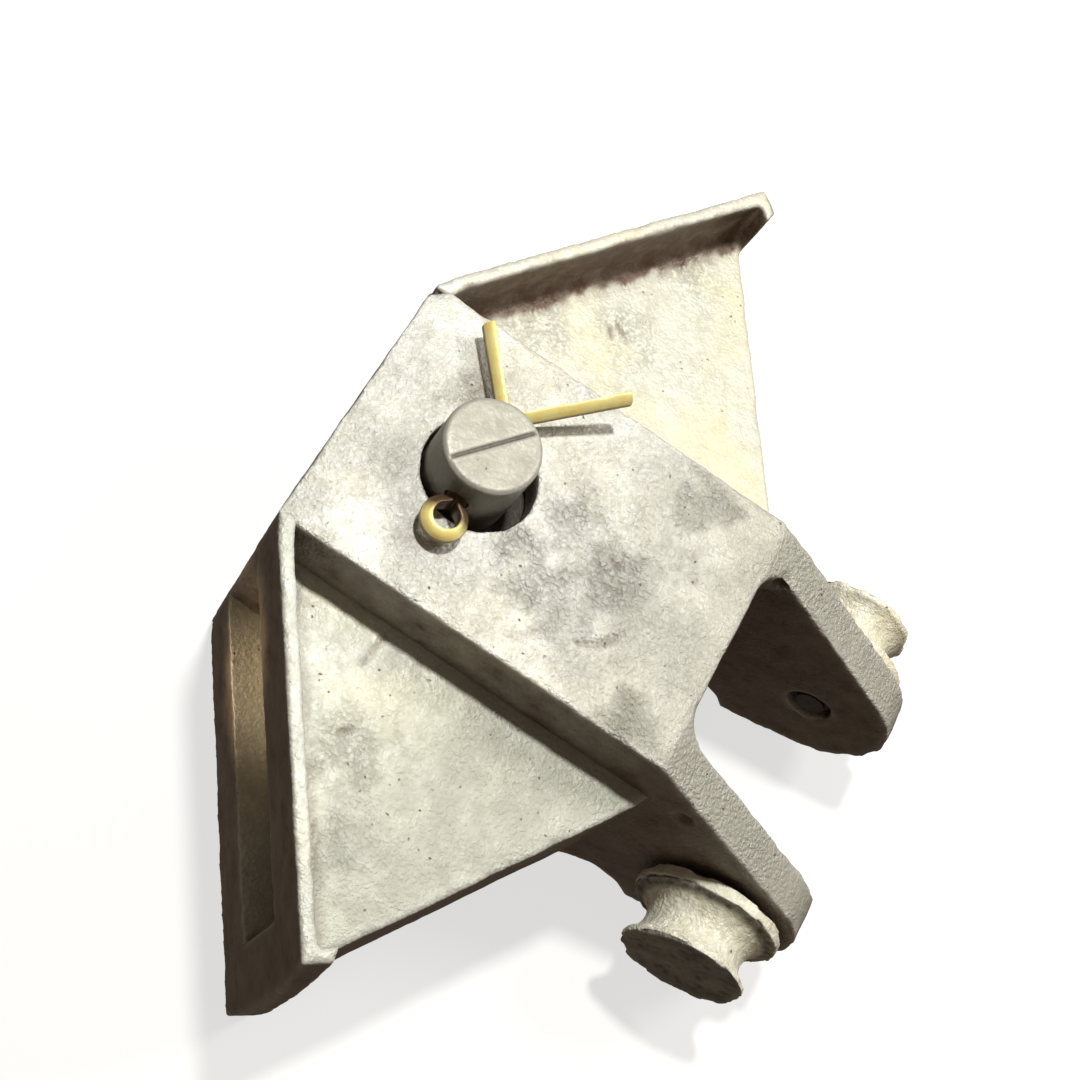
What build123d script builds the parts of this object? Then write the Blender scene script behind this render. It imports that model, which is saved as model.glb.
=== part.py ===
from build123d import *
import os
from math import acos, atan2, cos, degrees, hypot, radians, sin

# A forked pivot bracket, lying on its back: +Z is the outward normal of the front plate,
# +Y runs from the fork towards the square end, and X is the width. The origin is on the
# back face, on the axis of the main pin. Left is -X and right is +X.

# ---- driving dimensions, millimetres ----

# Body
half_width = 10.5            # half the width over the two cheeks
body_depth = 22.4            # back face to front face
top_y = 9.0                  # square end
root_y = -20.8               # bottom of the fork slot
shoulder_y = -20.5           # where the front face starts to slope down to the ears
cheek_thickness = 3.4
plate_thickness = 3.0
cover_thickness = 3.0
end_wall = 3.4               # thickness of the blocks that close the two ends of the body
root_fillet = 2.2

# Ears
ear_y = -31.6                # axis of the rollers
ear_z = 8.3
nose_radius = 6.4
heel_y = -27.7               # where the back edge of the ear meets the back plane
scallop_radius = 3.2         # round cut behind the ear
scallop_y = -24.9
scallop_sink = 1.6           # how far its centre is below the back plane

# Wings
wing_tip_x = 33.6            # corner of the triangle
wing_tip_y = -7.0
wing_foot_y = -22.0          # where the lower edge meets the cheek
web_setback = 4.9            # web below the front face, and the same at the back
web_thickness = 1.7
rim_thickness = 1.1
rim_root_fillet = 1.5        # between the rim and its web
channel_depth = 3.8          # groove along the outer edge, between the two rims
tip_length = 3.8             # solid end of that groove, along the rim
nose_length = 1.0            # full-depth nose that closes the tip of the wing
nose_face = 1.6
nose_bulge = 0.9             # how far the nose stands out at mid depth
nose_fillet = 0.7

# Main pin
pin_radius = 3.4
pin_stand = 4.15             # above the front face
window_radius = 4.05         # hole in the front plate round the pin
window_shift = -0.5          # its centre stands off the pin's axis, along Y
head_radius = 4.6
head_thickness = 1.5
head_sink = 0.2              # head below the back face
head_side_gap = 0.2
head_seat_gap = 0.05
ledge_gap = 0.3              # pin in the back cover
bush_wall = 1.8
bush_block_gap = 0.3         # round the bush, where an end block reaches it
running_gap = 0.04           # radial, pin in bush and axle in bush
mark_width = 0.3             # line across the end of the pin
mark_depth = 0.15
mark_angle = -37.0
edge_break = 0.25

# Split pin
wire_radius = 0.75           # half-round wire, two halves fill the hole
split_pin_gap = 0.1          # radial, in the main pin
split_pin_z = 1.2            # above the front face
eye_radius = 0.9             # inside of the eye
eye_neck_radius = 0.9
leg_bend_radius = 1.2
legs = [(1, 38.5, 6.4), (-1, 42.5, 8.5)]   # side, spread in degrees, straight length

# Rollers
roller_length = 5.0
inner_flange_radius = 5.6
inner_flange_width = 1.1
outer_flange_radius = 4.75
outer_flange_width = 0.6
groove_radius = 3.8          # where the groove's arc passes nearest the axle
groove_low_share = 0.42      # how far across the groove that is, from the inner flange
roller_end_wall = 1.4        # roller metal beyond the blind bore
axle_radius = 1.12
axle_bush_radius = 1.69      # shank of the flanged bush
axle_flange_radius = 2.8
axle_flange_thickness = 0.3
seat_gap = 0.01              # bush in ear, axle in roller
thrust_gap = 0.05
recess_depth = 1.2           # bush below the inner face of the ear
ring_radius = 1.55
ring_thickness = 0.4
ring_groove_radius = 0.8
ring_mouth = 0.9             # opening of the retaining ring
axle_end_gap = 0.3           # axle below the inner face of the ear

# ---- worked out from them ----

cheek_inner = half_width - cheek_thickness
mid_z = body_depth / 2
web_top = body_depth - web_setback
web_bottom = web_top - web_thickness
cavity_low = cover_thickness
cavity_high = body_depth - plate_thickness
bush_radius = pin_radius + running_gap + bush_wall
cross_z = body_depth + split_pin_z
ear_bore = axle_bush_radius + seat_gap
axle_bore = axle_radius + running_gap
roller_start = half_width + axle_flange_thickness + thrust_gap
roller_stop = roller_start + roller_length
bush_inner_end = cheek_inner + recess_depth
ring_stop = bush_inner_end - thrust_gap
ring_start = ring_stop - ring_thickness

os.makedirs("parts", exist_ok=True)


def finish(builder, name):
    """Label a finished piece and write it."""
    builder.part.label = name
    export_step(builder.part, f"parts/{name}.step")


def tangent_point(point, centre, radius, side):
    """Where a line from a point touches a circle, anticlockwise (+1) or clockwise (-1)."""
    away_x, away_y = point[0] - centre[0], point[1] - centre[1]
    turn = atan2(away_y, away_x) + side * acos(radius / hypot(away_x, away_y))
    return (centre[0] + radius * cos(turn), centre[1] + radius * sin(turn))


# ---- fork frame: front plate, two cheeks and their ears, one casting ----

ear_centre = (ear_y, ear_z)
shoulder = (shoulder_y, body_depth)
heel = (heel_y, 0)
front_touch = tangent_point(shoulder, ear_centre, nose_radius, 1)
back_touch = tangent_point(heel, ear_centre, nose_radius, -1)
nose = (ear_y - nose_radius, ear_z)

with BuildPart() as fork_frame:
    with BuildSketch(Plane.YZ.offset(cheek_inner)):
        with BuildLine():
            Polyline((heel_y, 0), (top_y, 0), (top_y, body_depth), shoulder, front_touch)
            ThreePointArc(front_touch, nose, back_touch)
            Line(back_touch, heel)
        make_face()
        with Locations((scallop_y, -scallop_sink)):
            Circle(scallop_radius, mode=Mode.SUBTRACT)
        with Locations(ear_centre):
            Circle(ear_bore, mode=Mode.SUBTRACT)
    extrude(amount=cheek_thickness)
    mirror(about=Plane.YZ)
    with BuildSketch(Plane.XY.offset(cavity_high)):
        with BuildLine():
            corner_end = (cheek_inner, root_y - root_fillet)
            corner_start = (cheek_inner - root_fillet, root_y)
            RadiusArc(corner_end, corner_start, -root_fillet)
            Polyline(corner_start, (0, root_y), (0, top_y), (cheek_inner, top_y), corner_end)
        make_face()
        mirror(about=Plane.YZ)
    extrude(amount=plate_thickness)
    with BuildSketch(Plane.YZ):
        with BuildLine():
            Polyline(shoulder, front_touch, (front_touch[0], body_depth), close=True)
        make_face()
    extrude(amount=cheek_inner, both=True, mode=Mode.SUBTRACT)
    with Locations((0, window_shift, body_depth)):
        Hole(window_radius, depth=plate_thickness)
finish(fork_frame, "fork_frame")

# ---- blocks and cover that close the body between the cheeks ----

with BuildPart() as back_cover:
    with BuildSketch(Plane.XY):
        with Locations((0, (top_y + root_y) / 2)):
            Rectangle(2 * cheek_inner, top_y - root_y)
    extrude(amount=cover_thickness)
    with Locations(Location((0, 0, 0), (180, 0, 0))):
        CounterBoreHole(
            radius=pin_radius + ledge_gap,
            counter_bore_radius=head_radius + head_side_gap,
            counter_bore_depth=head_sink + head_thickness + head_seat_gap,
            depth=cover_thickness,
        )
finish(back_cover, "back_cover")

for block_name, outer_y, inner_y in (
    ("end_block", top_y, top_y - end_wall),
    ("root_block", root_y, root_y + end_wall),
):
    with BuildPart() as block:
        with BuildSketch(Plane.XY.offset(cavity_low)):
            with Locations((0, (outer_y + inner_y) / 2)):
                Rectangle(2 * cheek_inner, end_wall)
            Circle(bush_radius + bush_block_gap, mode=Mode.SUBTRACT)
        extrude(amount=cavity_high - cavity_low)
    finish(block, block_name)

# ---- main pin, its bush and its split pin ----

with BuildPart() as main_bush:
    with BuildSketch(Plane.XY.offset(cavity_low)):
        Circle(bush_radius)
        Circle(pin_radius + running_gap, mode=Mode.SUBTRACT)
    extrude(amount=cavity_high - cavity_low)
finish(main_bush, "main_bush")

with BuildPart() as main_pin:
    with BuildSketch(Plane.XY.offset(head_sink)):
        Circle(head_radius)
    extrude(amount=head_thickness)
    with BuildSketch(Plane.XY.offset(head_sink + head_thickness)):
        Circle(pin_radius)
    extrude(amount=body_depth + pin_stand - head_sink - head_thickness)
    chamfer(main_pin.faces().sort_by(Axis.Z)[-1].edges(), edge_break)
    chamfer(main_pin.faces().sort_by(Axis.Z)[0].edges(), edge_break)
    with BuildSketch(Plane.YZ):
        with Locations((0, cross_z)):
            Circle(wire_radius + split_pin_gap)
    extrude(amount=2 * pin_radius, both=True, mode=Mode.SUBTRACT)
    with BuildSketch(Plane.XY.offset(body_depth + pin_stand)):
        Rectangle(3 * pin_radius, mark_width, rotation=mark_angle)
    extrude(amount=-mark_depth, mode=Mode.SUBTRACT)
finish(main_pin, "main_pin")

# Each half of the split pin follows the flat of its half-round wire: round half of the
# eye, through the main pin, and out along a bent leg.
eye_turn = acos(eye_neck_radius / (eye_neck_radius + eye_radius))
eye_start = -pin_radius
eye_centre = eye_start - (eye_neck_radius + eye_radius) * sin(eye_turn)
eye_half_turn = 90 + degrees(eye_turn)
leg_start = pin_radius + split_pin_gap
eye_plane = Plane(origin=(eye_centre - eye_radius, 0, cross_z), x_dir=(-1, 0, 0), z_dir=(0, 1, 0))

with BuildPart() as split_pin:
    for side, spread, length in legs:
        tilt = radians(spread)
        bend_end = (
            leg_start + leg_bend_radius * sin(tilt),
            side * leg_bend_radius * (1 - cos(tilt)),
        )
        tip = (bend_end[0] + length * cos(tilt), bend_end[1] + side * length * sin(tilt))
        with BuildLine(Plane.XY.offset(cross_z)) as wire:
            CenterArc((eye_centre, 0), eye_radius, 180, -side * eye_half_turn)
            CenterArc(
                (eye_start, side * eye_neck_radius),
                eye_neck_radius,
                -90 * side - side * (eye_half_turn - 90),
                side * (eye_half_turn - 90),
            )
            Line((eye_start, 0), (leg_start, 0))
            CenterArc((leg_start, side * leg_bend_radius), leg_bend_radius, -90 * side, side * spread)
            Line(bend_end, tip)
        with BuildSketch(eye_plane):
            Circle(wire_radius)
            with Locations((-wire_radius, 0)):
                Rectangle(2 * wire_radius, 2 * wire_radius, mode=Mode.SUBTRACT)
        sweep(path=wire.wires()[0])
finish(split_pin, "split_pin")

# ---- wings: two webs with rims and a core between them, on each side ----

rim_run = hypot(wing_tip_x - half_width, wing_tip_y - top_y)
rim_dir = ((wing_tip_x - half_width) / rim_run, (wing_tip_y - top_y) / rim_run)
foot_run = hypot(wing_tip_x - half_width, wing_tip_y - wing_foot_y)
foot_dir = ((wing_tip_x - half_width) / foot_run, (wing_tip_y - wing_foot_y) / foot_run)
foot = (half_width, wing_foot_y)
tip_cosine = rim_dir[0] * foot_dir[0] + rim_dir[1] * foot_dir[1]
tip_sine = rim_dir[0] * foot_dir[1] - rim_dir[1] * foot_dir[0]
nose_start = rim_run - nose_length


def rim_point(along, depth):
    """A point this far along the rim's outer line and this far inside it."""
    return (
        half_width + along * rim_dir[0] + depth * rim_dir[1],
        top_y + along * rim_dir[1] - depth * rim_dir[0],
    )


def cheek_point(depth):
    """The point on the cheek that is this far inside the rim's outer line."""
    return (half_width, top_y - depth / rim_dir[0])


nose_width = nose_length * tip_sine / tip_cosine
rim_plane = Plane(
    origin=(half_width, top_y, 0), x_dir=(*rim_dir, 0), z_dir=(rim_dir[1], -rim_dir[0], 0)
)

for wing_side, mirrored in (("right", False), ("left", True)):
    with BuildPart() as front_wing:
        with BuildSketch(Plane.XY.offset(web_bottom)):
            with BuildLine():
                Polyline(
                    rim_point(0, 0),
                    rim_point(nose_start, 0),
                    rim_point(nose_start, nose_width),
                    foot,
                    close=True,
                )
            make_face()
        extrude(amount=web_thickness)
        with BuildSketch(Plane.XY.offset(web_top)):
            with BuildLine():
                Polyline(
                    rim_point(0, 0),
                    rim_point(nose_start, 0),
                    rim_point(nose_start, rim_thickness),
                    cheek_point(rim_thickness),
                    close=True,
                )
            make_face()
        extrude(amount=web_setback)
        rim_root = front_wing.edges().filter_by(Axis((0, 0, 0), (*rim_dir, 0)))
        rim_root = rim_root.filter_by_position(Axis.Z, web_top - 0.1, web_top + 0.1)
        fillet(rim_root.sort_by(Axis((0, 0, 0), (rim_dir[1], -rim_dir[0], 0)))[0], rim_root_fillet)
        if mirrored:
            mirror(about=Plane.YZ, mode=Mode.REPLACE)
    finish(front_wing, f"{wing_side}_front_wing")

    with BuildPart() as back_wing:
        add(front_wing.part)
        mirror(about=Plane.XY.offset(mid_z), mode=Mode.REPLACE)
    finish(back_wing, f"{wing_side}_back_wing")

    with BuildPart() as wing_core:
        with BuildSketch(rim_plane):
            with BuildLine():
                Polyline((rim_run, 0), (nose_start, 0), (nose_start, body_depth), (rim_run, body_depth))
                ThreePointArc((rim_run, body_depth), (rim_run + nose_bulge, mid_z), (rim_run, 0))
            make_face()
        extrude(amount=nose_width)
        with BuildSketch(Plane.XY) as nose_plan:
            with BuildLine():
                Polyline(
                    rim_point(nose_start, 0),
                    rim_point(rim_run + nose_bulge, 0),
                    rim_point(rim_run + nose_bulge, nose_face),
                    rim_point(nose_start, nose_width),
                    close=True,
                )
            make_face()
            fillet(nose_plan.vertices().sort_by(Axis((0, 0, 0), (*rim_dir, 0)))[-2:], nose_fillet)
        extrude(amount=body_depth, mode=Mode.INTERSECT)
        with BuildSketch(Plane.XY.offset(body_depth - web_bottom)):
            with BuildLine():
                Polyline(
                    cheek_point(channel_depth),
                    rim_point(rim_run - tip_length, channel_depth),
                    rim_point(rim_run - tip_length, 0),
                    rim_point(nose_start, 0),
                    rim_point(nose_start, nose_width),
                    foot,
                    close=True,
                )
            make_face()
        extrude(amount=2 * web_bottom - body_depth)
        if mirrored:
            mirror(about=Plane.YZ, mode=Mode.REPLACE)
    finish(wing_core, f"{wing_side}_wing_core")

# ---- rollers, each on an axle that turns in a flanged bush in the ear ----

roller_axis = Axis((0, ear_y, ear_z), (1, 0, 0))
roller_plane = Plane(origin=(0, ear_y, ear_z), x_dir=(1, 0, 0), z_dir=(0, 0, 1))
axle_blind = roller_stop - roller_end_wall
groove_start = roller_start + inner_flange_width
groove_stop = roller_stop - outer_flange_width

for roller_side, mirrored in (("right", False), ("left", True)):
    with BuildPart() as roller:
        with BuildSketch(roller_plane):
            with BuildLine():
                Polyline(
                    (groove_start, inner_flange_radius),
                    (roller_start, inner_flange_radius),
                    (roller_start, axle_radius + seat_gap),
                    (axle_blind, axle_radius + seat_gap),
                    (axle_blind, 0),
                    (roller_stop, 0),
                    (roller_stop, outer_flange_radius),
                    (groove_stop, outer_flange_radius),
                )
                ThreePointArc(
                    (groove_stop, outer_flange_radius),
                    (groove_start + groove_low_share * (groove_stop - groove_start), groove_radius),
                    (groove_start, inner_flange_radius),
                )
            make_face()
        revolve(axis=roller_axis)
        if mirrored:
            mirror(about=Plane.YZ, mode=Mode.REPLACE)
    finish(roller, f"{roller_side}_roller")

    with BuildPart() as axle:
        with BuildSketch(Plane.YZ.offset(cheek_inner + axle_end_gap)):
            with Locations(ear_centre):
                Circle(axle_radius)
        extrude(amount=axle_blind - cheek_inner - axle_end_gap)
        with BuildSketch(Plane.YZ.offset(ring_start)):
            with Locations(ear_centre):
                Circle(2 * axle_radius)
                Circle(ring_groove_radius, mode=Mode.SUBTRACT)
        extrude(amount=ring_thickness, mode=Mode.SUBTRACT)
        if mirrored:
            mirror(about=Plane.YZ, mode=Mode.REPLACE)
    finish(axle, f"{roller_side}_axle")

    with BuildPart() as retaining_ring:
        with BuildSketch(Plane.YZ.offset(ring_start)):
            with Locations(ear_centre):
                Circle(ring_radius)
                Circle(ring_groove_radius, mode=Mode.SUBTRACT)
            with Locations((ear_y + ring_radius, ear_z)):
                Rectangle(2 * ring_radius, ring_mouth, mode=Mode.SUBTRACT)
        extrude(amount=ring_thickness)
        if mirrored:
            mirror(about=Plane.YZ, mode=Mode.REPLACE)
    finish(retaining_ring, f"{roller_side}_retaining_ring")

    with BuildPart() as axle_bush:
        with BuildSketch(Plane.YZ.offset(bush_inner_end)):
            with Locations(ear_centre):
                Circle(axle_bush_radius)
        extrude(amount=half_width - bush_inner_end)
        with BuildSketch(Plane.YZ.offset(half_width)):
            with Locations(ear_centre):
                Circle(axle_flange_radius)
        extrude(amount=axle_flange_thickness)
        with BuildSketch(Plane.YZ.offset(bush_inner_end)):
            with Locations(ear_centre):
                Circle(axle_bore)
        extrude(amount=half_width + axle_flange_thickness - bush_inner_end, mode=Mode.SUBTRACT)
        if mirrored:
            mirror(about=Plane.YZ, mode=Mode.REPLACE)
    finish(axle_bush, f"{roller_side}_axle_bush")
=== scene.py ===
"""Forked pivot bracket: cast bodies, pin, rollers and brass split pin, lit on a pale floor."""

import bmesh
import bpy
import numpy as np
from mathutils import Matrix, Vector, noise


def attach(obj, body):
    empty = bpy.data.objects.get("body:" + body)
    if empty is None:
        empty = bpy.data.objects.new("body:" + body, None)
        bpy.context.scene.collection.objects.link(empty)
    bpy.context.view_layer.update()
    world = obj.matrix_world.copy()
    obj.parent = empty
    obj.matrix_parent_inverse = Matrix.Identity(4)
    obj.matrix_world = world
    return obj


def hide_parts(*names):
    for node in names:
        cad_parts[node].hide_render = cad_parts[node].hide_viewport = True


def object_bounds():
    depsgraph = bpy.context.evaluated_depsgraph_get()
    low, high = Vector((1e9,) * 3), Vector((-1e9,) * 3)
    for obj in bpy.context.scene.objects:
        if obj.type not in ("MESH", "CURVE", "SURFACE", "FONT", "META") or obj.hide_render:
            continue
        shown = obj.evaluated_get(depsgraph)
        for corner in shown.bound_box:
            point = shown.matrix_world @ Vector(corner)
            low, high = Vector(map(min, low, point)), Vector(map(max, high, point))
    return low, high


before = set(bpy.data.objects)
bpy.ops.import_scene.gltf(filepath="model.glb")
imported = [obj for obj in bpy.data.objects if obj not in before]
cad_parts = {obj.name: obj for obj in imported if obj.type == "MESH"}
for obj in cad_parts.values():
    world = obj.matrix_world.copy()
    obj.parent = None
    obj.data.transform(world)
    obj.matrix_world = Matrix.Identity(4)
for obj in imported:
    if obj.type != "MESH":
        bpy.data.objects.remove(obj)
cad_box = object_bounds()

MM = 0.001
SIDES = ("left", "right")

# sizes of the bracket, in millimetres
HALF_WIDTH = 10.5  # of the front plate
WING_ROOT_REACH = 0.4  # share by which a wing's inner edge is drawn out into the plate's side
PIN_RADIUS = 3.4
LEG_ROOM = 0.2  # between the pin and where a leg starts to spring up
LEG_LENGTH = 7.0
RIM_START = (10.5, 9.0)  # the right wing's rim, seen from the front
RIM_END = (34.07, -7.0)
RIM_ROOT_DEPTH = 1.7  # from the rim's outer face to where it meets the web


# ---------- materials ----------


def new_material(name):
    """A material with a Principled shader, and its node tree's short cuts."""
    material = bpy.data.materials.new(name)
    material.use_nodes = True
    tree = material.node_tree
    shader = tree.nodes["Principled BSDF"]
    return material, tree, shader


def add_node(tree, kind, settings=None, **inputs):
    """A shader node with its settings, and its inputs as values or as links."""
    made = tree.nodes.new(kind)
    for key, value in (settings or {}).items():
        setattr(made, key, value)
    for key, value in inputs.items():
        socket = made.inputs[key.replace("_", " ")]
        if isinstance(value, bpy.types.NodeSocket):
            tree.links.new(value, socket)
        else:
            socket.default_value = value
    return made


def noise_field(tree, place, scale, detail=4.0, roughness=0.55, distortion=0.0):
    """Noise on the piece's own coordinates, as a value."""
    made = add_node(
        tree, "ShaderNodeTexNoise", Vector=place, Scale=scale, Detail=detail,
        Roughness=roughness, Distortion=distortion,
    )
    return made.outputs["Fac"]


def remap(tree, value, low, high, to_low=0.0, to_high=1.0):
    """Stretches a value's range low..high to another, and clamps it."""
    made = tree.nodes.new("ShaderNodeMapRange")
    tree.links.new(value, made.inputs["Value"])
    for key, number in (("From Min", low), ("From Max", high), ("To Min", to_low), ("To Max", to_high)):
        made.inputs[key].default_value = number
    return made.outputs["Result"]


def blend_colour(tree, share, first, second, mode="MIX"):
    """One colour over another by a share; each may be a link or a colour."""
    made = tree.nodes.new("ShaderNodeMix")
    made.data_type = "RGBA"
    made.blend_type = mode
    for socket, value in ((made.inputs[0], share), (made.inputs[6], first), (made.inputs[7], second)):
        if isinstance(value, bpy.types.NodeSocket):
            tree.links.new(value, socket)
        elif socket.type == "RGBA":
            socket.default_value = (*value, 1.0)
        else:
            socket.default_value = value
    return made.outputs[2]


def sum_values(tree, first, second, operation="ADD"):
    """Two values added, or joined by another sum; each may be a link or a number."""
    made = tree.nodes.new("ShaderNodeMath")
    made.operation = operation
    for socket, value in ((made.inputs[0], first), (made.inputs[1], second)):
        if isinstance(value, bpy.types.NodeSocket):
            tree.links.new(value, socket)
        else:
            socket.default_value = value
    return made.outputs[0]


def warped(tree, place, scale, reach):
    """The coordinates pushed about by a noise, so that what uses them is uneven."""
    wobble = add_node(tree, "ShaderNodeTexNoise", Vector=place, Scale=scale)
    push = add_node(tree, "ShaderNodeVectorMath", {"operation": "SCALE"}, Scale=reach)
    tree.links.new(wobble.outputs["Color"], push.inputs[0])
    moved = tree.nodes.new("ShaderNodeVectorMath")
    tree.links.new(place, moved.inputs[0])
    tree.links.new(push.outputs[0], moved.inputs[1])
    return moved.outputs[0]


def cast_white_metal(
    name, light, dark, warm, tarnish_and_shade, gloss=0.45, grain=0.8, metal=0.25, rough_from=0.46, painted_shade_end=None
):
    """Sand-cast white metal: mottled grey with a warm bloom, patches of coarse sand grain between smoother
    skin, pin-holes, brown tarnish and painted shade by the piece's own mask, and paler rubbed edges.
    painted_shade_end is a pair of places along Y, in metres, between which the skin is painted greyer and
    darker: painted shade where the light falls off towards the lower end."""
    material, tree, shader = new_material(name)
    place = tree.nodes.new("ShaderNodeTexCoord").outputs["Object"]
    broad = noise_field(tree, place, 120.0, 3.0, 0.6, 0.4)
    mottle = noise_field(tree, place, 620.0, 6.0, 0.68, 0.2)
    sand = noise_field(tree, place, 3000.0, 4.0, 0.7, 0.3)
    clump = noise_field(tree, place, 1100.0, 4.0, 0.65, 0.3)
    dust = noise_field(tree, place, 5200.0, 2.0, 0.6)
    patch = noise_field(tree, place, 190.0, 4.0, 0.6)
    rough = remap(tree, patch, rough_from - 0.08, rough_from + 0.16, 0.3, 0.7)
    grit = add_node(tree, "ShaderNodeAttribute", {"attribute_name": "grit"}).outputs["Fac"]
    rough = sum_values(tree, rough, grit)
    grains = tree.nodes.new("ShaderNodeTexVoronoi")
    grains.feature = "SMOOTH_F1"
    grains.inputs["Scale"].default_value = 3300.0
    grains.inputs["Smoothness"].default_value = 0.2
    tree.links.new(warped(tree, place, 1500.0, 0.0007), grains.inputs["Vector"])
    pits = tree.nodes.new("ShaderNodeTexVoronoi")
    pits.inputs["Scale"].default_value = 1300.0
    tree.links.new(warped(tree, place, 2600.0, 0.0004), pits.inputs["Vector"])
    pit = sum_values(
        tree, remap(tree, pits.outputs["Distance"], 0.05, 0.15, 1.0, 0.0),
        remap(tree, noise_field(tree, place, 900.0, 2.0), 0.56, 0.6), "MULTIPLY",
    )

    crevice = sum_values(tree, grains.outputs["Distance"], remap(tree, clump, 0.4, 0.6, 0.16, -0.16))
    colour = blend_colour(tree, remap(tree, mottle, 0.34, 0.58, 0.4, 1.0), dark, light)
    colour = blend_colour(tree, remap(tree, broad, 0.45, 0.62, 0.0, 0.85), colour, warm)
    flecks = sum_values(tree, remap(tree, crevice, 0.12, 0.42, 0.95, 0.0), rough, "MULTIPLY")
    colour = blend_colour(tree, flecks, colour, tuple(min(0.97, c * 1.25) for c in light))
    gaps = sum_values(tree, remap(tree, crevice, 0.5, 0.66, 0.0, 0.3), rough, "MULTIPLY")
    colour = blend_colour(tree, gaps, colour, tuple(c * 0.7 for c in dark))
    # painted shade: the skin greyer and darker along Y, towards the lower end
    if painted_shade_end:
        along = tree.nodes.new("ShaderNodeSeparateXYZ")
        tree.links.new(place, along.inputs[0])
        greyer = remap(tree, along.outputs["Y"], painted_shade_end[0], painted_shade_end[1], 0.0, 0.9)
        colour = blend_colour(tree, greyer, colour, tuple(c * 0.82 for c in dark))
    colour = blend_colour(tree, sum_values(tree, pit, 0.8, "MULTIPLY"), colour, tarnish_and_shade)
    # the mask lays brown tarnish and painted shade: dark on faces turned from the light, in hollows and under
    # the rim
    mask = add_node(tree, "ShaderNodeAttribute", {"attribute_name": "tarnish_and_shade"}).outputs["Fac"]
    patchy = remap(tree, mottle, 0.3, 0.7, 0.75, 1.15)
    colour = blend_colour(tree, sum_values(tree, mask, patchy, "MULTIPLY"), colour, tarnish_and_shade)
    rubbed = add_node(tree, "ShaderNodeAttribute", {"attribute_name": "rubbed"}).outputs["Fac"]
    colour = blend_colour(tree, sum_values(tree, rubbed, 0.55, "MULTIPLY"), colour, (0.84, 0.82, 0.76))
    tree.links.new(colour, shader.inputs["Base Color"])

    shader.inputs["Metallic"].default_value = metal
    tree.links.new(remap(tree, mottle, 0.3, 0.7, gloss + 0.12, gloss - 0.08), shader.inputs["Roughness"])
    coarse = sum_values(tree, sum_values(tree, sand, 1.5, "MULTIPLY"), grains.outputs["Distance"], "SUBTRACT")
    coarse = sum_values(tree, coarse, 0.35, "SUBTRACT")
    height = sum_values(tree, coarse, rough, "MULTIPLY")
    height = sum_values(tree, height, sum_values(tree, dust, 0.12, "MULTIPLY"))
    height = sum_values(tree, height, sum_values(tree, mottle, 0.25, "MULTIPLY"))
    height = sum_values(tree, height, sum_values(tree, pit, 0.8, "MULTIPLY"), "SUBTRACT")
    bump = add_node(tree, "ShaderNodeBump", Strength=grain, Distance=0.0002, Height=height)
    tree.links.new(bump.outputs["Normal"], shader.inputs["Normal"])
    return material


def drawn_brass(name):
    """Bright drawn brass wire with fine draw marks, painted dark brown by its mask: painted shadow and
    painted shade.
    """
    material, tree, shader = new_material(name)
    place = tree.nodes.new("ShaderNodeTexCoord").outputs["Object"]
    stain = noise_field(tree, place, 1100.0, 4.0, 0.6)
    marks = noise_field(tree, place, 5200.0, 2.0, 0.5)
    colour = blend_colour(tree, remap(tree, stain, 0.38, 0.68), (1.0, 0.88, 0.36), (0.95, 0.71, 0.2))
    # dark brown by the mask: painted shadow at the eye's neck, painted shade on the wire's flanks
    mask = add_node(tree, "ShaderNodeAttribute", {"attribute_name": "tarnish_and_shade"}).outputs["Fac"]
    colour = blend_colour(tree, mask, colour, (0.10, 0.055, 0.025))
    tree.links.new(colour, shader.inputs["Base Color"])
    shader.inputs["Metallic"].default_value = 0.15
    tree.links.new(remap(tree, stain, 0.3, 0.7, 0.3, 0.5), shader.inputs["Roughness"])
    bump = add_node(tree, "ShaderNodeBump", Strength=0.35, Distance=0.00005, Height=marks)
    tree.links.new(bump.outputs["Normal"], shader.inputs["Normal"])
    return material


# brown for pin-holes, tarnish and painted shade on the cast pieces
BROWN = (0.135, 0.08, 0.053)
# the plate and the left wing are painted greyer towards their lower ends: painted shade
plate_metal = cast_white_metal(
    "plate_metal", (0.82, 0.82, 0.755), (0.61, 0.595, 0.50), (0.79, 0.77, 0.635), BROWN, 0.45, 0.85,
    painted_shade_end=(-0.007, -0.02),
)
wing_metals = {
    "right": cast_white_metal(
        "right_wing_metal", (0.72, 0.715, 0.61), (0.60, 0.59, 0.47), (0.77, 0.725, 0.51), BROWN, 0.5, 0.42,
        rough_from=0.54,
    ),
    "left": cast_white_metal(
        "left_wing_metal", (0.69, 0.70, 0.615), (0.55, 0.555, 0.46), (0.70, 0.685, 0.52), BROWN, 0.5, 0.5,
        rough_from=0.52, painted_shade_end=(-0.0015, -0.009),
    ),
}
# dark brown metal for pieces that sit in shade: painted shade
shade_brown_metal = cast_white_metal(
    "shade_brown_metal", (0.30, 0.205, 0.145), (0.14, 0.09, 0.06), (0.24, 0.155, 0.10), (0.08, 0.05, 0.035),
    0.5, 0.6,
)
roller_metal = cast_white_metal(
    "roller_metal", (0.97, 0.95, 0.78), (0.70, 0.64, 0.46), (0.93, 0.86, 0.62), (0.04, 0.028, 0.02),
    0.42, 0.7, 0.05,
)
pin_metal = cast_white_metal(
    "pin_metal", (0.48, 0.47, 0.40), (0.37, 0.355, 0.29), (0.44, 0.425, 0.345), (0.055, 0.043, 0.032),
    0.5, 0.3, rough_from=0.6,
)
brass = drawn_brass("brass")
bronze = cast_white_metal(
    "bush_bronze", (0.04, 0.029, 0.02), (0.022, 0.016, 0.011), (0.032, 0.023, 0.015), (0.015, 0.01, 0.008),
    0.55, 0.3, 0.3,
)
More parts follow.
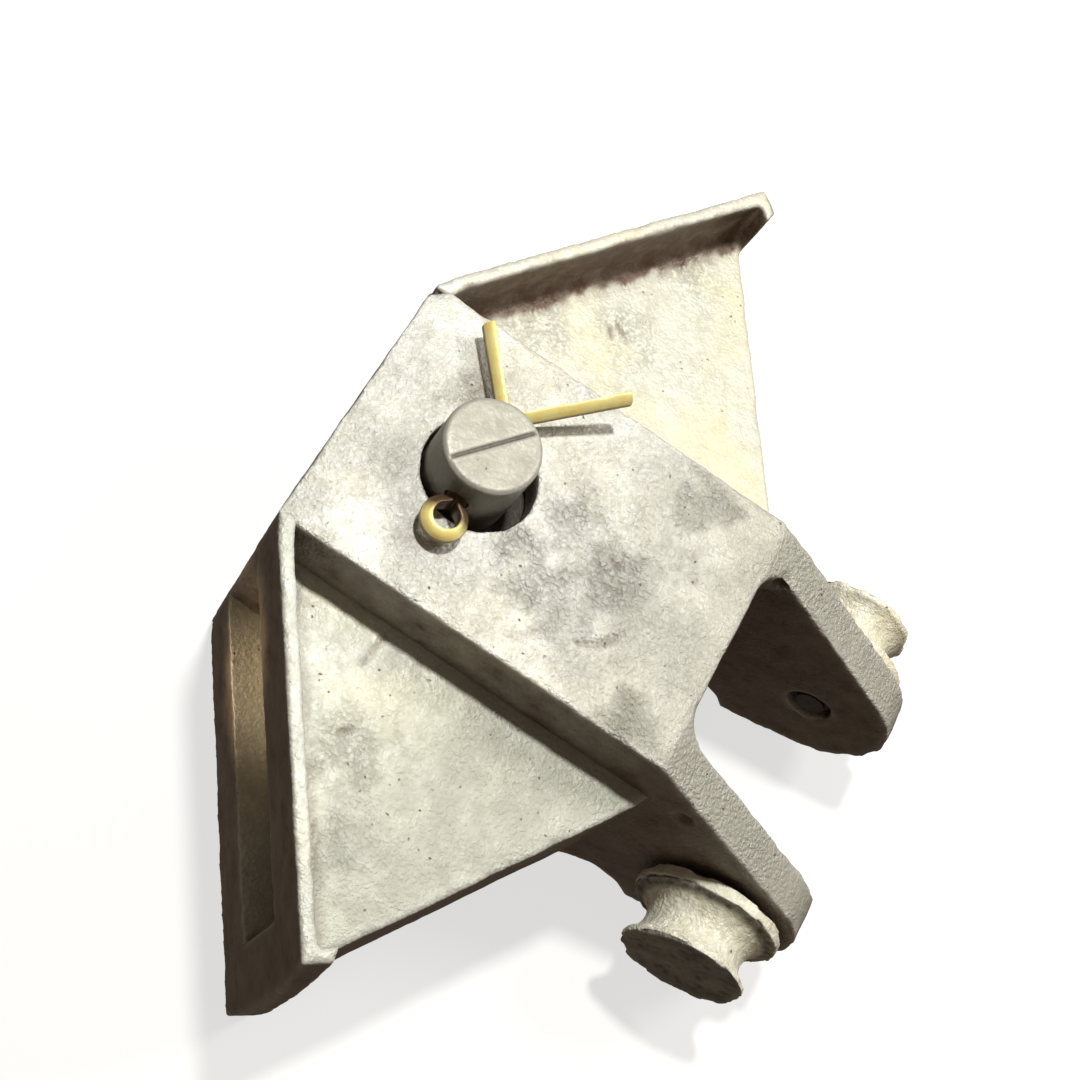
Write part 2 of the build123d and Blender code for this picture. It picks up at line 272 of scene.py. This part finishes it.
steel = cast_white_metal(
    "axle_steel", (0.11, 0.10, 0.09), (0.06, 0.052, 0.045), (0.09, 0.08, 0.07), (0.03, 0.024, 0.02),
    0.4, 0.3, 0.6,
)


# ---------- cast pieces ----------


def merged_copy(nodes, name):
    """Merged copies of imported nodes' meshes, as one object."""
    bm = bmesh.new()
    for node in nodes:
        bm.from_mesh(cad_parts[node].data)
    bmesh.ops.remove_doubles(bm, verts=bm.verts, dist=0.002 * MM)
    mesh = bpy.data.meshes.new(name)
    bm.to_mesh(mesh)
    bm.free()
    piece = bpy.data.objects.new(name, mesh)
    bpy.context.scene.collection.objects.link(piece)
    return piece


def bake_modifiers(piece):
    """Applies the piece's modifiers to its mesh."""
    graph = bpy.context.evaluated_depsgraph_get()
    mesh = bpy.data.meshes.new_from_object(piece.evaluated_get(graph))
    piece.modifiers.clear()
    old = piece.data
    piece.data = mesh
    bpy.data.meshes.remove(old)


def skin(piece, grain, soften, factor=0.5):
    """Turns the piece into one even skin of the given grain, and rubs its edges round."""
    remesh = piece.modifiers.new("skin", "REMESH")
    remesh.mode = "VOXEL"
    remesh.voxel_size = grain * MM
    if soften:
        smooth = piece.modifiers.new("wear", "SMOOTH")
        smooth.factor = factor
        smooth.iterations = soften
    bake_modifiers(piece)


def mesh_arrays(mesh):
    """Places, normals and edges of a mesh as arrays; the places are in millimetres."""
    count = len(mesh.vertices)
    places = np.empty(count * 3, np.float32)
    mesh.vertices.foreach_get("co", places)
    normals = np.empty(count * 3, np.float32)
    mesh.vertex_normals.foreach_get("vector", normals)
    edges = np.empty(len(mesh.edges) * 2, np.int32)
    mesh.edges.foreach_get("vertices", edges)
    places = places.reshape(-1, 3).astype(float) / MM
    return places, normals.reshape(-1, 3).astype(float), edges.reshape(-1, 2)


def neighbour_mean(values, edges):
    """Each point's mean over the points it shares an edge with."""
    total = np.zeros_like(values)
    count = np.zeros(len(values))
    np.add.at(total, edges[:, 0], values[edges[:, 1]])
    np.add.at(total, edges[:, 1], values[edges[:, 0]])
    np.add.at(count, edges[:, 0], 1)
    np.add.at(count, edges[:, 1], 1)
    return total / (count[:, None] if values.ndim > 1 else count)


def move_points(mesh, places):
    """Puts the mesh's points at new places, in millimetres."""
    mesh.vertices.foreach_set("co", (places * MM).astype(np.float32).ravel())
    mesh.update()


def set_mask(mesh, name, values):
    """Keeps a value from 0 to 1 for each point, for the material to read."""
    layer = mesh.attributes.new(name, "FLOAT", "POINT")
    layer.data.foreach_set("value", np.clip(values, 0.0, 1.0).astype(np.float32))


def waves(places, size, seed):
    """Smooth noise with features of the given size, in millimetres, about -0.6..0.6."""
    shift = Vector((seed, seed * 0.7, -seed))
    return np.array([noise.noise(Vector(p) / size + shift) for p in places])


def patches(places, spots):
    """How far each place lies inside ragged patches, each a centre and a radius."""
    share = np.zeros(len(places))
    for *centre, radius in spots:
        away = np.linalg.norm(places - np.array(centre), axis=1) / radius
        ragged = 0.9 * waves(places, 1.6, 21.0) * (away < 2.0)
        share = np.maximum(share, np.clip(1.3 - away + ragged, 0.0, 1.0))
    return share


def roughen(piece, depth, seed, flaws=(), chips=0.3, spots=(), hollow=(14.0, 0.6), face=2):
    """Sinks the skin unevenly, as a worn casting is, and adds the named flaws; then masks grit, tarnish with
    painted shade, and rubbed edges. Faces that turn away from the axis named by face get brown tarnish and
    painted shade, and hollows get painted shade."""
    mesh = piece.data
    places, normals, edges = mesh_arrays(mesh)
    sink = 0.45 + 0.5 * waves(places, 4.5, seed) + 0.4 * waves(places, 1.5, seed)
    sink += 0.25 * waves(places, 0.6, seed)
    amount = depth * np.clip(sink, 0.0, 1.2)
    grain = np.median(np.linalg.norm(places[edges[:, 0]] - places[edges[:, 1]], axis=1))
    edge = ((places - neighbour_mean(places, edges)) * normals).sum(1)
    for _ in range(3):
        edge = 0.4 * edge + 0.6 * neighbour_mean(edge, edges)
    edge = np.clip(edge / grain * 9.0 - 0.1, 0.0, 1.0)
    amount += chips * edge * np.clip(waves(places, 1.3, seed + 2.0) * 1.4 + 0.15, 0.0, 1.0)
    for flaw in flaws:
        amount += flaw(places, normals, seed)
    moved = places - normals * amount[:, None]
    move_points(mesh, moved)
    bend = ((moved - neighbour_mean(moved, edges)) * normals).sum(1)
    for _ in range(4):
        bend = 0.4 * bend + 0.6 * neighbour_mean(bend, edges)
    bend = bend / grain
    patchy = 0.5 + 0.5 * waves(places, 2.2, seed + 5.0)
    if face == 2:
        sideways = np.clip((0.62 - normals[:, 2]) / 0.42, 0.0, 1.0)
    else:
        sideways = np.clip((np.abs(normals[:, 0]) - 0.8) / 0.12, 0.0, 1.0)
    # brown tarnish and painted shade on faces turned from the light, and painted shade in hollows
    set_mask(mesh, "tarnish_and_shade", sideways * (0.62 + 0.3 * patchy) + np.clip(-bend * hollow[0], 0.0, hollow[1]))
    set_mask(mesh, "grit", patches(places, spots) * np.clip(normals[:, 2] * 3.0 - 1.6, 0.0, 1.0))
    set_mask(mesh, "rubbed", np.clip(bend * 10.0 - 0.12, 0.0, 1.0) * (0.4 + 0.8 * patchy))


def finish_piece(piece, body, slot, material, *nodes):
    """Shades the piece smoothly and fixes it to its body, in place of its nodes."""
    piece.data.shade_smooth()
    piece.data.materials.clear()
    piece.data.materials.append(material)
    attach(piece, body)
    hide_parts(*nodes)
    return piece


def dent(centre, radius, depth, lumps=0.0, size=0.8):
    """A shallow hollow in the skin, smooth or lumpy, as a function of the places."""

    def flaw(places, normals, seed):
        away = np.linalg.norm(places - np.array(centre), axis=1) / radius
        near = np.clip(1.0 - away, 0.0, 1.0)
        share = near * near * (3 - 2 * near)
        amount = depth * share
        if lumps:
            inside = share > 0
            swell = np.clip(waves(places[inside], size, seed + 9.0) + 0.25, 0, 1)
            amount[inside] += lumps * share[inside] * swell
        return amount

    return flaw


def scratch(points, width, depth):
    """A groove along a short path of points."""

    def flaw(places, normals, seed):
        nearest = np.full(len(places), 1e9)
        for start, stop in zip(points, points[1:]):
            start, stop = np.array(start), np.array(stop)
            run = stop - start
            share = np.clip(((places - start) @ run) / (run @ run), 0.0, 1.0)
            nearest = np.minimum(nearest, np.linalg.norm(places - start - share[:, None] * run, axis=1))
        return depth * np.clip(1.0 - nearest / width, 0.0, 1.0)

    return flaw


plate_flaws = [
    dent((-0.3, -11.0, 22.4), 4.6, 0.05, 0.34, 0.5),
    dent((3.0, -15.5, 22.4), 4.0, 0.0, 0.16, 0.55),
    dent((-6.0, -6.5, 22.4), 4.5, 0.0, 0.12, 0.6),
    scratch([(-6.3, -11.6, 22.4), (-5.9, -12.5, 22.4), (-5.4, -13.1, 22.4), (-4.5, -13.8, 22.4)], 0.3, 0.4),
    scratch([(8.3, -27.4, 17.0), (9.6, -28.0, 15.0)], 0.45, 0.9),
    dent((10.5, 9.0, 22.4), 1.6, 0.7),
    dent((-10.6, -24.6, 17.6), 1.0, 0.5),
    dent((7.2, -22.2, 20.8), 1.1, 0.45, 0.5, 0.5),
]
fork = merged_copy(["fork_frame"], "fork_casting")
skin(fork, 0.24, 1)
plate_grit = [
    (8.2, -14.8, 22.4, 2.2), (-4.6, -8.4, 22.4, 2.8), (-1.2, -11.6, 22.4, 2.6), (-2.5, -4.8, 22.4, 1.8),
    (-9.0, -17.0, 22.4, 1.8), (4.5, 2.5, 22.4, 2.0), (1.5, -7.0, 22.4, 1.8),
]
# painted shade darkens the fork's side walls, which face away from the light, and its hollows
roughen(fork, 0.10, 3.0, plate_flaws, 0.16, plate_grit, hollow=(8.0, 0.45))
finish_piece(fork, "bracket", "cast_metal", plate_metal, "fork_frame")



def paint_rim_shadow(wing):
    """Lays a ragged painted shadow, dark brown, on the web under the rim, through the tarnish mask."""
    places, normals, _ = mesh_arrays(wing.data)
    along = np.array(RIM_END) - np.array(RIM_START)
    along = along / np.linalg.norm(along)
    depth = (places[:, 0] - RIM_START[0]) * along[1] - (places[:, 1] - RIM_START[1]) * along[0]
    ragged = 0.9 * waves(places, 1.1, 61.0) + 0.8 * waves(places, 3.5, 64.0)
    band = np.clip(1.3 - np.abs(depth - RIM_ROOT_DEPTH) / 0.75 + ragged, 0.0, 1.0)
    band *= (normals[:, 2] < 0.98) * (places[:, 2] > 16.0)
    layer = wing.data.attributes["tarnish_and_shade"]
    mask = np.empty(len(places), np.float32)
    layer.data.foreach_get("value", mask)
    layer.data.foreach_set("value", np.clip(mask + band, 0.0, 1.0).astype(np.float32))


wing_grit = {
    "left": [(-19.0, -3.0, 17.5, 2.5), (-26.0, -5.0, 17.5, 2.0)],
    "right": [(15.0, 1.0, 17.5, 2.5), (19.5, -4.5, 17.5, 2.0), (27.0, -5.5, 17.5, 2.0)],
}
wing_flaws = {
    "left": [
        scratch([(-13.9, -0.95, 17.5), (-11.3, -1.3, 17.5)], 0.3, 0.12),
        scratch([(-18.6, -2.0, 17.5), (-17.9, -2.6, 17.5)], 0.35, 0.12),
    ],
    "right": [dent((19.0, -3.5, 17.5), 1.3, 0.05, 0.35, 0.6)],
}
for seed, side in enumerate(SIDES):
    nodes = [f"{side}_{part}" for part in ("front_wing", "back_wing", "wing_core")]
    wing = merged_copy(nodes, f"{side}_wing_casting")
    skin(wing, 0.22, 1)
    places, normals, edges = mesh_arrays(wing.data)
    across = np.abs(places[:, 0])
    places[:, 0] -= np.sign(places[:, 0]) * WING_ROOT_REACH * np.clip(HALF_WIDTH + 1.0 - across, 0.0, None)
    move_points(wing.data, places)
    # painted shade darkens the rims' outer faces, which face away from the light
    roughen(wing, 0.08, 11.0 + 7 * seed, wing_flaws[side], 0.1, wing_grit[side])
    # the right wing gets a painted shadow under its rim
    if side == "right":
        paint_rim_shadow(wing)
    finish_piece(wing, "bracket", "cast_metal", wing_metals[side], *nodes)

for seed, side in enumerate(SIDES):
    roller = merged_copy([f"{side}_roller"], f"{side}_roller_casting")
    skin(roller, 0.13, 2)
    # painted shade darkens the roller's end caps, which face away from the light
    roughen(roller, 0.2, 31.0 + seed, chips=0.6, hollow=(6.0, 0.3), face=0)
    finish_piece(roller, f"{side}_roller", "roller_metal", roller_metal, f"{side}_roller")

pin = merged_copy(["main_pin"], "pivot_pin")
skin(pin, 0.1, 1)
# painted shade darkens the pin's side, which faces away from the light
roughen(pin, 0.025, 51.0, chips=0.06, hollow=(18.0, 0.85))
finish_piece(pin, "main_pin", "pin_metal", pin_metal, "main_pin")

# the split pin's legs spring up a little from where they leave the pin; the eye's neck gets a painted shadow
# and the wire's flanks painted shade
wire = merged_copy(["split_pin"], "split_pin_wire")
skin(wire, 0.07, 1)
places, normals, edges = mesh_arrays(wire.data)
out = np.clip((places[:, 0] - PIN_RADIUS - LEG_ROOM) / LEG_LENGTH, 0.0, None)
low_leg = places[:, 1] < 0
rise = np.where(low_leg, 2.1, 0.4)
places[:, 2] += out * rise
places[:, 0] -= out * np.where(low_leg, 1.15, 0.2)
places[:, 1] += out * np.where(low_leg, 0.22, 0.05)
move_points(wire.data, places)
neck = np.clip(1.0 - np.abs(places[:, 0] + PIN_RADIUS + 0.6) / 1.5, 0.0, 1.0)
flank = np.clip((0.35 - normals[:, 2]) / 0.2, 0.0, 1.0)
roughen(wire, 0.03, 71.0, chips=0.05)
# painted shadow at the eye's neck and painted shade on the flanks, in the mask
layer = wire.data.attributes["tarnish_and_shade"]
layer.data.foreach_set("value", np.clip(1.6 * neck + 0.85 * flank, 0.0, 1.0).astype(np.float32))
finish_piece(wire, "main_pin", "brass", brass, "split_pin")

# the end block, root blocks and back cover are dark brown throughout: painted shade
KEPT_NODES = {
    "back_cover": shade_brown_metal, "end_block": shade_brown_metal, "root_block": shade_brown_metal,
    "main_bush": bronze,
    "left_axle": steel, "right_axle": steel, "left_retaining_ring": steel, "right_retaining_ring": steel,
    "left_axle_bush": bronze, "right_axle_bush": bronze,
}
for node, material in KEPT_NODES.items():
    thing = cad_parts[node]
    for kept_slot in thing.material_slots:
        kept_slot.material = material


# ---------- floor, lights and camera ----------


def pale_floor():
    """A plain white floor just under the bracket, which adds no light to it."""
    bm = bmesh.new()
    bmesh.ops.create_grid(bm, x_segments=1, y_segments=1, size=0.6)
    mesh = bpy.data.meshes.new("floor")
    bm.to_mesh(mesh)
    bm.free()
    floor = bpy.data.objects.new("floor", mesh)
    bpy.context.scene.collection.objects.link(floor)
    material, tree, shader = new_material("floor_white")
    shader.inputs["Base Color"].default_value = (0.4, 0.4, 0.4, 1.0)
    shader.inputs["Roughness"].default_value = 0.9
    shader.inputs["Emission Color"].default_value = (1.0, 1.0, 0.99, 1.0)
    shader.inputs["Emission Strength"].default_value = 0.68
    floor.data.materials.append(material)
    floor.location = (0, 0, cad_box[0][2] - 0.00002)
    floor.visible_diffuse = False
    floor.visible_glossy = False
    return floor


def studio_light(name, toward, distance, size, power, colour=(1.0, 1.0, 1.0)):
    """A round soft light that looks at the middle of the bracket from the given direction."""
    data = bpy.data.lights.new(name, "AREA")
    data.shape = "DISK"
    data.size = size
    data.energy = power
    data.color = colour
    lamp = bpy.data.objects.new(name, data)
    bpy.context.scene.collection.objects.link(lamp)
    middle = Vector((0.0, -0.01, 0.012))
    direction = Vector(toward).normalized()
    lamp.location = middle + direction * distance
    lamp.rotation_euler = direction.to_track_quat("Z", "Y").to_euler()
    return lamp


floor = pale_floor()
studio_light("key_light", (0.195, 0.125, 0.973), 0.26, 0.022, 0.55, (1.0, 0.99, 0.955))
studio_light("side_light", (0.46, -0.42, 0.78), 0.24, 0.07, 0.19, (1.0, 0.99, 0.95))

channel_spot = bpy.data.lights.new("channel_spot", "SPOT")
channel_spot.energy = 0.55
channel_spot.spot_size = 0.105
channel_spot.spot_blend = 0.6
channel_spot.shadow_soft_size = 0.002
channel_spot.color = (1.0, 0.76, 0.5)
spot = bpy.data.objects.new("channel_spot", channel_spot)
bpy.context.scene.collection.objects.link(spot)
spot_way = Vector((-0.42, 0.83, 0.36)).normalized()
spot.location = Vector((-0.0155, 0.005, 0.011)) + spot_way * 0.12
spot.rotation_euler = spot_way.to_track_quat("Z", "Y").to_euler()

world = bpy.data.worlds.new("studio")
world.use_nodes = True
world.node_tree.nodes["Background"].inputs["Color"].default_value = (1.0, 0.82, 0.68, 1.0)
world.node_tree.nodes["Background"].inputs["Strength"].default_value = 0.13
bpy.context.scene.world = world

camera_data = bpy.data.cameras.new("camera")
camera_data.sensor_width = 36.0
camera_data.lens = 64.88
camera_data.shift_x = 0.0092
camera_data.clip_start = 0.005
camera = bpy.data.objects.new("camera", camera_data)
bpy.context.scene.collection.objects.link(camera)
turn = Matrix(((0.4563, 0.7527, -0.4745), (-0.8243, 0.5584, 0.0930), (0.3350, 0.3487, 0.8753)))
camera.rotation_euler = turn.to_euler()
camera.location = Vector((-62.51, 6.28, 133.93)) * MM
bpy.context.scene.camera = camera
bpy.context.scene.view_settings.view_transform = "Standard"
